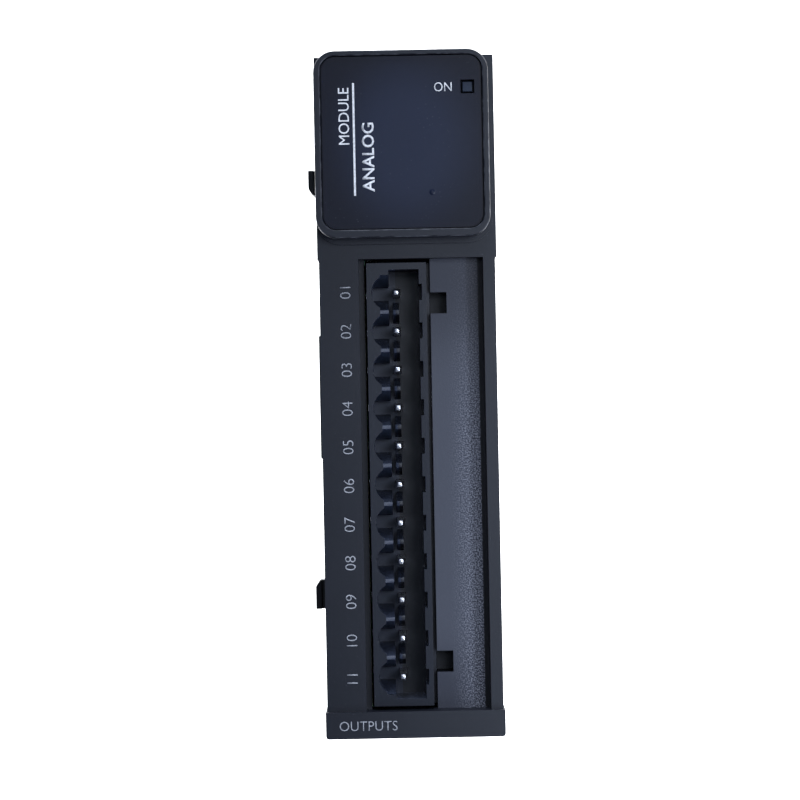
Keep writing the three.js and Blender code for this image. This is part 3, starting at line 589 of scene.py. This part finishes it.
def instances(tree, points, shape):
    return add(tree, "GeometryNodeInstanceOnPoints", {"Points": points, "Instance": shape}).outputs[0]


def ended(tree, out, made, coat):
    """Ends a tree: instances made real, then their material."""
    real = add(tree, "GeometryNodeRealizeInstances", {0: made})
    coated = add(tree, "GeometryNodeSetMaterial", {"Geometry": real.outputs[0], "Material": coat})
    tree.links.new(coated.outputs[0], out.inputs["Geometry"])
    return tree


def box_grid_tree(name, coat):
    """Boxes on a grid of rows and columns, some left out and all a little off their places."""
    tree, given, out = new_group(
        name,
        [("First", VECTOR, (0, 0, 0)), ("Step", VECTOR, (0, 0, 0.001)), ("Count", WHOLE, 5),
         ("Row Step", VECTOR, (0, 0.001, 0)), ("Rows", WHOLE, 1),
         ("Size", VECTOR, (0.001, 0.001, 0.001)), ("Jitter", FLOAT, 0.0), ("Kept", FLOAT, 1.0),
         ("Seed", WHOLE, 3)],
        [("Geometry", GEOMETRY)], "GeometryNodeTree")
    sockets = given.outputs
    column = line_of_points(tree, sockets["Rows"], sockets["First"], sockets["Row Step"])
    row = line_of_points(tree, sockets["Count"], (0, 0, 0), sockets["Step"])
    points = add(tree, "GeometryNodeRealizeInstances", {0: instances(tree, column, row)})
    chance = add(tree, "FunctionNodeRandomValue", {"Seed": sockets["Seed"]}, data_type="FLOAT")
    dropped = add(tree, "FunctionNodeCompare", {0: chance.outputs[1], 1: sockets["Kept"]},
                  data_type="FLOAT", operation="GREATER_THAN")
    left = add(tree, "GeometryNodeDeleteGeometry",
               {"Geometry": points.outputs[0], "Selection": dropped.outputs[0]}, domain="POINT")
    wander = add(tree, "FunctionNodeRandomValue",
                 {0: (0.0, -1.0, -1.0), 1: (0.0, 1.0, 1.0), "Seed": sockets["Seed"]},
                 data_type="FLOAT_VECTOR")
    shift = add(tree, "ShaderNodeVectorMath", {0: wander.outputs[0], "Scale": sockets["Jitter"]},
                operation="SCALE")
    moved = add(tree, "GeometryNodeSetPosition",
                {"Geometry": left.outputs[0], "Offset": shift.outputs[0]})
    cube = add(tree, "GeometryNodeMeshCube", {"Size": sockets["Size"]})
    return ended(tree, out, instances(tree, moved.outputs[0], cube.outputs[0]), coat)


def wire_loops_tree(name, coat):
    """A stack along X of round-cornered loops of wire."""
    tree, given, out = new_group(
        name,
        [("Middle", VECTOR, (0, 0, 0)), ("Length", FLOAT, 0.01), ("Width", FLOAT, 0.008),
         ("Corner", FLOAT, 0.001), ("Wire Radius", FLOAT, 0.0001), ("Turns", WHOLE, 10),
         ("Spacing", FLOAT, 0.0003)],
        [("Geometry", GEOMETRY)], "GeometryNodeTree")
    sockets = given.outputs
    loop = add(tree, "GeometryNodeCurvePrimitiveQuadrilateral",
               {"Width": sockets["Length"], "Height": sockets["Width"]})
    soft = add(tree, "GeometryNodeFilletCurve",
               {"Curve": loop.outputs[0], "Radius": sockets["Corner"], "Count": 5, "Limit Radius": True},
               mode="POLY")
    ring = add(tree, "GeometryNodeCurvePrimitiveCircle",
               {"Resolution": 8, "Radius": sockets["Wire Radius"]})
    wire = add(tree, "GeometryNodeCurveToMesh",
               {"Curve": soft.outputs[0], "Profile Curve": ring.outputs[0]})
    upright = add(tree, "GeometryNodeTransform",
                  {"Geometry": wire.outputs[0], "Rotation": (math.pi / 2, 0.0, math.pi / 2)})
    step = add(tree, "ShaderNodeCombineXYZ", {"X": sockets["Spacing"]})
    line = line_of_points(tree, sockets["Turns"], sockets["Middle"], step.outputs[0])
    return ended(tree, out, instances(tree, line, upright.outputs[0]), coat)


def cone_row_tree(name, coat):
    """A row along Z of solder fillets that stand along X."""
    tree, given, out = new_group(
        name,
        [("First", VECTOR, (0, 0, 0)), ("Pitch", FLOAT, 0.005), ("Count", WHOLE, 11),
         ("Foot Radius", FLOAT, 0.001), ("Tip Radius", FLOAT, 0.0006), ("Height", FLOAT, 0.0005),
         ("Lean", FLOAT, math.pi / 2)],
        [("Geometry", GEOMETRY)], "GeometryNodeTree")
    sockets = given.outputs
    cone = add(tree, "GeometryNodeMeshCone",
               {"Vertices": 16, "Side Segments": 3, "Radius Top": sockets["Tip Radius"],
                "Radius Bottom": sockets["Foot Radius"], "Depth": sockets["Height"]})
    turn = add(tree, "ShaderNodeCombineXYZ", {"Y": sockets["Lean"]})
    lying = add(tree, "GeometryNodeTransform",
                {"Geometry": cone.outputs["Mesh"], "Rotation": turn.outputs[0]})
    step = add(tree, "ShaderNodeCombineXYZ", {"Z": sockets["Pitch"]})
    line = line_of_points(tree, sockets["Count"], sockets["First"], step.outputs[0])
    return ended(tree, out, instances(tree, line, lying.outputs[0]), coat)


def grown(name, tree, body, slot, round_mm=0.0, **sizes):
    """A plain mesh piece made by a Geometry Nodes tree with those sizes, its edges rounded."""
    piece = linked(name, bpy.data.meshes.new(name))
    step = piece.modifiers.new("grow", "NODES")
    step.node_group = tree
    wanted = {key.replace("_", " "): value for key, value in sizes.items()}
    for item in tree.interface.items_tree:
        if item.item_type == "SOCKET" and item.in_out == "INPUT" and item.name in wanted:
            step[item.identifier] = wanted.pop(item.name)
    if wanted:
        raise ValueError(f"{name}: no such size {sorted(wanted)}")
    flattened(piece)
    coat = piece.data.materials[-1]
    if round_mm:
        shape = bmesh.new()
        shape.from_mesh(piece.data)
        round_edges(shape, round_mm, 1, shape.edges[:])
        shape.to_mesh(piece.data)
        shape.free()
    set_coat(piece.data, coat)
    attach(piece, body)


# ---------------------------------------------------------------- casing


# Tests on the middle of an edge, or on the centre and normal of a face, all in mm


def on_nose_rim(middle):
    return middle.y < NOSE_FRONT / MM + 0.3 and middle.z > 19.0


def on_band_corner(middle):
    return abs(middle.x) > 11.7 and middle.z < -44.9


def on_plate(centre, normal):
    return normal.y < -0.7 and 2.9 < centre.x < 9.4 and abs(centre.y - PLATE_FLOOR / MM) < 0.3


def on_side(centre, normal):
    return abs(normal.x) > 0.8 or abs(normal.z) > 0.8 or normal.y > 0.5


def make_casing():
    softened("front_cover", MODULE, [(PLATE, on_plate), (SIDES, on_side), (CASING, None)],
             [(0.5, on_band_corner), (0.32, on_nose_rim), (0.14, None)])
    softened("rear_housing", MODULE, [(SIDES, None)], [(0.16, None)], segments=2)
    softened("display_panel", MODULE, [(PANEL_FILM, None)], [(0.10, None)], segments=2)


def make_latches():
    softened("lock_slider", SIDE_LOCK, [(LATCH_PLASTIC, None)], [(0.18, None)])
    softened("rail_clip", CLIP, [(LATCH_PLASTIC, None)], [(0.2, None)])


def inside_header(centre):
    return HEADER_FRONT / MM + 0.7 < centre.y < HEADER_FRONT / MM + 8.8 and -5.0 < centre.x < 2.2


def in_pocket(centre, normal):
    return inside_header(centre) and centre.x < POCKET_EDGE


def on_slope(centre, normal):
    return inside_header(centre) and normal.z > 0.15


def on_notch_lip(centre, normal):
    return centre.x > 1.7 and centre.y < HEADER_FRONT / MM + 0.3 and 0.2 < -normal.x < 0.98


def make_terminals():
    # The pockets take painted light, and the up-facing slopes and notch lips a painted highlight.
    softened("terminal_header", MODULE,
             [(HEADER_PAINTED_HIGHLIGHT, on_slope), (HEADER_CELLS_PAINTED_LIGHT, in_pocket), (HEADER_PAINTED_HIGHLIGHT, on_notch_lip),
              (HEADER_PLASTIC, None)], [(0.12, None)], segments=2, coat_line_x=POCKET_EDGE)
    for pin in PINS:
        softened(pin, MODULE, [(TIN, None)], [(0.08, None)], segments=2)


def beyond(node, axis, margin):
    """A test for faces that lie within margin (mm) of a node's two ends along an axis."""
    low, high = (corner[axis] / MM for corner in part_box(node))
    return lambda centre, normal: centre[axis] < low + margin or centre[axis] > high - margin


def on_board_face(centre, normal):
    return abs(normal.x) > 0.7


def make_boards():
    for node in ("main_board", "logic_board"):
        softened(node, MODULE, [(BOARD, on_board_face), (BOARD_EDGE, None)], [(0.08, None)],
                 segments=1)


def make_chips():
    for node in CHIPS:
        softened(node, MODULE, [(TIN, beyond(node, 1, 0.75)), (EPOXY, None)], [(0.07, None)],
                 segments=2)
    for node in ("surge_suppressor_1", "surge_suppressor_2", "input_fuse"):
        softened(node, MODULE, [(TIN, beyond(node, 2, 0.3)), (EPOXY, None)], [(0.15, None)],
                 segments=2)


def on_lid(node):
    """A test for the faces on the free end of a can that stands along X."""
    lid_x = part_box(node)[1].x / MM
    return lambda centre, normal: centre.x > lid_x - 0.05


def on_stripe(centre, normal):
    return normal.z > 0.86


def make_cans():
    for node in ("supply_capacitor_1", "supply_capacitor_2", "output_capacitor"):
        softened(node, MODULE, [(CAN, on_lid(node)), (LABEL, on_stripe), (SLEEVE, None)],
                 [(0.12, None)])
    for node in ("supply_converter", "clock_crystal"):
        softened(node, MODULE, [(CAN, None)], [(0.35, None)])


def on_bobbin_foot(centre, normal):
    return centre.x < -2.4


def make_magnetics():
    softened("transformer_core", MODULE, [(FERRITE, None)], [(0.2, None)])
    softened("power_inductor", MODULE, [(FERRITE, None)], [(0.3, None)])
    softened("transformer_bobbin", MODULE, [(HEADER_PLASTIC, on_bobbin_foot), (COPPER, None)],
             [(0.15, None)], segments=2)
    grown("transformer_turns", wire_loops_tree("wire_loops", COPPER), MODULE, "winding",
          Middle=mm(-2.2, -31, -24), Length=16.8 * MM, Width=8.4 * MM, Corner=1.2 * MM,
          Wire_Radius=0.09 * MM, Turns=20, Spacing=0.19 * MM)


def make_connectors():
    for node in ("bus_plug", "bus_socket", "link_header", "link_socket"):
        softened(node, MODULE, [(HEADER_PLASTIC, None)], [(0.15, None)], segments=2)
    contacts = box_grid_tree("contact_rows", GOLD)
    pitch, count = 1.27, 10
    first = -pitch * (count - 1) / 2
    shared = dict(round_mm=0.03, Step=mm(0, 0, pitch), Count=count, Rows=2)
    grown("bus_plug_contacts", contacts, MODULE, "contact", First=mm(-11.0, -7.63, first),
          Row_Step=mm(0, 1.26, 0), Size=mm(2.8, 0.14, 0.6), **shared)
    grown("bus_socket_contacts", contacts, MODULE, "contact", First=mm(10.0, -7.84, first),
          Row_Step=mm(0, 1.68, 0), Size=mm(2.6, 0.2, 0.6), **shared)
    solder = cone_row_tree("solder_fillets", SOLDER)
    tails_y = HEADER_BACK + 0.9 * MM
    grown("pin_solder", solder, MODULE, "contact", First=(-7.4 * MM, tails_y, min(PIN_MIDDLES)),
          Pitch=PIN_PITCH, Count=len(PINS), Foot_Radius=1.05 * MM, Tip_Radius=0.75 * MM,
          Height=0.4 * MM, Lean=-math.pi / 2)


def make_small_parts():
    """Rows of chip resistors and capacitors, each a body with two tinned ends."""
    bodies = box_grid_tree("small_bodies", EPOXY)
    ends = box_grid_tree("small_ends", TIN)
    main_face, logic_face = -5.3, 5.7  # mm along X
    between_pins = min(PIN_MIDDLES) / MM + PIN_PITCH / MM / 2
    rows = [  # name, first place, pitch and count along Z, rows along Y; all in mm
        ("pin_filters", (main_face, -42.8, between_pins), PIN_PITCH / MM, 10, 1),
        ("driver_parts", (main_face, -29.3, 5.5), 2.3, 7, 1),
        ("logic_parts", (logic_face, -36.5, -32), 3.1, 14, 2),
        ("bus_parts", (logic_face, -18.0, -38), 3.1, 9, 2),
    ]
    body_size, end_size, end_offset = mm(0.5, 0.8, 1.1), mm(0.54, 0.84, 0.3), 0.68
    for index, (name, (x, y, z), pitch, count, row_count) in enumerate(rows):
        shared = dict(round_mm=0.03, Step=mm(0, 0, pitch), Count=count, Row_Step=mm(0, 2.6, 0),
                      Rows=row_count, Jitter=0.12 * MM, Kept=0.85, Seed=11 + index)
        grown(f"{name}_bodies", bodies, MODULE, "chip", First=mm(x, y, z), Size=body_size, **shared)
        for letter, side in (("a", -1), ("b", 1)):
            grown(f"{name}_ends_{letter}", ends, MODULE, "contact", First=mm(x, y, z + side * end_offset),
                  Size=end_size, **shared)


def make_grips():
    """Fine ribs for a finger or a tool on the two latches."""
    ribs = box_grid_tree("grip_ribs", LATCH_PLASTIC)
    rounded = 0.09
    for letter, end in (("a", -1), ("b", 1)):
        grown(f"lock_grip_{letter}", ribs, SIDE_LOCK, "latch", rounded,
              First=mm(-11.68, -36, end * 39.5 - 3.2), Step=mm(0, 0, 0.8), Count=9,
              Size=mm(0.24, 3.2, 0.36))
    grown("clip_grip", ribs, CLIP, "latch", rounded, First=mm(0, 4.34, -40.0), Step=mm(0, 0, 0.75),
          Count=3, Size=mm(11, 0.3, 0.34))


def make_label():
    softened("rating_label", MODULE, [(LABEL, None)], [(0.04, None)], segments=1)
    rules = box_grid_tree("label_rules", DARK_INK)
    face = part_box("rating_label")[1].x / MM
    ink = INK_DEPTH / MM
    grown("label_frame_lines", rules, MODULE, "label", First=mm(face, -21, -39.5),
          Step=mm(0, 0, 3.5), Count=5, Size=mm(ink, 13, 0.18))
    grown("label_column_lines", rules, MODULE, "label", First=mm(face, -27.5, -32.5),
          Step=mm(0, 6.5, 0), Count=3, Size=mm(ink, 0.18, 14))
    grown("label_bars", rules, MODULE, "label", First=mm(face, -27.2, -19.5),
          Step=mm(0, 0.62, 0), Count=21, Size=mm(ink, 0.26, 6.0), Kept=0.72, Seed=5)


def make_lamp():
    softened("light_pipe", MODULE, [(PIPE_RESIN, None)], [(0.08, None)], segments=2)
    softened("power_lamp", MODULE, [(LAMP_RESIN, beyond("power_lamp", 1, 0.45)), (LABEL, None)],
             [(0.08, None)], segments=2)


def make_prints():
    """Generic marks in place of the maker's: plain words, numbers and a rule."""
    lift = 0.012
    panel, strip, band = (front / MM - lift for front in (PANEL_FRONT, COVER_FRONT, BAND_FRONT))
    text_piece("print_module", "MODULE", 1.4, (-7.9, panel, 36.5), upright=False, length_mm=7.4)
    text_piece("print_analog", "ANALOG", 1.6, (-4.8, panel, 31.1), upright=False, length_mm=9.0,
               bold=0.014)
    text_piece("print_on", "ON", 1.2, (5.1, panel, 40.1), length_mm=2.3, bold=-0.004)
    text_piece("print_outputs", "OUTPUTS", 1.25, (-6.2, band, -43.3), length_mm=7.6, bold=-0.010,
               coat=GREY_INK)
    for number, z in enumerate(PIN_MIDDLES, 1):
        text_piece(f"print_terminal_{number:02d}", f"{number:02d}", 1.4, (-8.2, strip, z / MM),
                   upright=False, bold=-0.012, coat=GREY_INK)
    make_rule(middle=(-6.6 * MM, PANEL_FRONT, 33.45 * MM), width=0.26 * MM, height=14.7 * MM)


def make_rule(middle, width, height):
    """The long thin line beside the words on the panel."""
    rule = bmesh.new()
    bmesh.ops.create_cube(rule, size=1.0)
    bmesh.ops.scale(rule, vec=(width, INK_DEPTH, height), verts=rule.verts)
    bmesh.ops.translate(rule, vec=middle, verts=rule.verts)
    mesh = bpy.data.meshes.new("print_rule")
    rule.to_mesh(mesh)
    rule.free()
    mesh.materials.append(INK)
    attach(linked("print_rule", mesh), MODULE)


make_casing()
make_latches()
make_terminals()
make_boards()
make_chips()
make_cans()
make_magnetics()
make_connectors()
make_small_parts()
make_grips()
make_label()
make_lamp()
make_prints()


# ---------------------------------------------------------------- studio


def make_backdrop():
    """Pale floor that sweeps up into a wall behind the module."""
    floor_z, wall_y, wall_top, near, half = -0.16, 0.5, 1.5, -0.9, 0.7
    radius, steps = 0.18, 12
    profile = [(near, floor_z), (wall_y - radius, floor_z)]
    for step in range(1, steps + 1):
        turn = math.radians(90 * step / steps)
        along, risen = radius * math.sin(turn), radius * (1 - math.cos(turn))
        profile.append((wall_y - radius + along, floor_z + risen))
    profile.append((wall_y, wall_top))
    mesh = bpy.data.meshes.new("studio_sweep")
    corners = [(x, y, z) for y, z in profile for x in (-half, half)]
    faces = [(2 * i, 2 * i + 1, 2 * i + 3, 2 * i + 2) for i in range(len(profile) - 1)]
    mesh.from_pydata(corners, [], faces)
    for face in mesh.polygons:
        face.use_smooth = True
    paper, tree, shader = material("studio_paper")
    behind = add(tree, "ShaderNodeSeparateXYZ", {0: object_place(tree)}).outputs["Y"]
    paler = ramp(tree, behind, 0.0, 0.35)
    tree.links.new(mixed(tree, paler, rgb(0.16, 0.17, 0.19), rgb(0.93, 0.93, 0.93)),
                   shader.inputs["Base Color"])
    shader.inputs["Roughness"].default_value = 0.9
    mesh.materials.append(paper)
    linked("studio_sweep", mesh)


def soft_light(name, place, aim, size, watts, colour=(1.0, 1.0, 1.0)):
    """A rectangular lamp at place that faces aim."""
    lamp = bpy.data.lights.new(name, "AREA")
    lamp.shape = "RECTANGLE"
    lamp.size, lamp.size_y = size
    lamp.energy = watts
    lamp.color = colour
    holder = bpy.data.objects.new(name, lamp)
    bpy.context.scene.collection.objects.link(holder)
    holder.location = place
    holder.rotation_mode = "QUATERNION"
    holder.rotation_quaternion = (Vector(aim) - Vector(place)).to_track_quat("-Z", "Y")
    return holder


def make_lights():
    """A dim cool room, soft boxes in front and above, and two lamps that wash the wall behind."""
    world = bpy.data.worlds.new("soft_room")
    bpy.context.scene.world = world
    world.use_nodes = True
    sky = world.node_tree.nodes["Background"]
    sky.inputs["Color"].default_value = rgb(0.60, 0.72, 1.0)
    sky.inputs["Strength"].default_value = 0.24
    cool = (0.79, 0.86, 1.0)
    soft_light("high_box", (0.20, -0.62, 0.07), (0, -0.05, 0), (0.26, 0.20), 1.12, cool)
    soft_light("overhead_box", (0.06, -0.26, 0.60), (0, -0.04, 0), (0.40, 0.26), 2.9, cool)
    strip = soft_light("right_strip", (0.15, -0.24, -0.07), (0, -0.05, -0.02), (0.04, 0.18), 0.34, cool)
    strip.visible_camera = False
    soft_light("camera_glow", (0.006, -0.70, 0.085), (0, -0.06, 0.03), (0.08, 0.06), 0.10, cool)
    for side in (-1, 1):
        place, aim = (side * 0.42, 0.10, 0.12), (side * 0.05, 0.5, 0.0)
        soft_light(f"wall_wash_{side}", place, aim, size=(0.3, 0.5), watts=7.0)


def make_camera():
    """A level view square to the front, turned a little in its own plane."""
    distance, picture_width, roll = 0.420, 104.17 * MM, math.radians(1.1)
    aim = Vector((-1.26 * MM, NOSE_FRONT, -0.62 * MM))
    camera = bpy.data.cameras.new("front_camera")
    camera.sensor_width = 36.0
    camera.lens = camera.sensor_width * distance / picture_width
    camera.clip_start = 0.01
    holder = bpy.data.objects.new("front_camera", camera)
    bpy.context.scene.collection.objects.link(holder)
    right = Vector((math.cos(roll), 0, -math.sin(roll)))
    up = Vector((math.sin(roll), 0, math.cos(roll)))
    back = Vector((0, -1, 0))
    turn = Matrix((right, up, back)).transposed().to_4x4()
    holder.matrix_world = Matrix.Translation(aim + back * distance) @ turn
    bpy.context.scene.camera = holder


make_backdrop()
make_lights()
make_camera()
bpy.context.scene.view_settings.view_transform = "Standard"
bpy.context.scene.cycles.max_bounces = 8
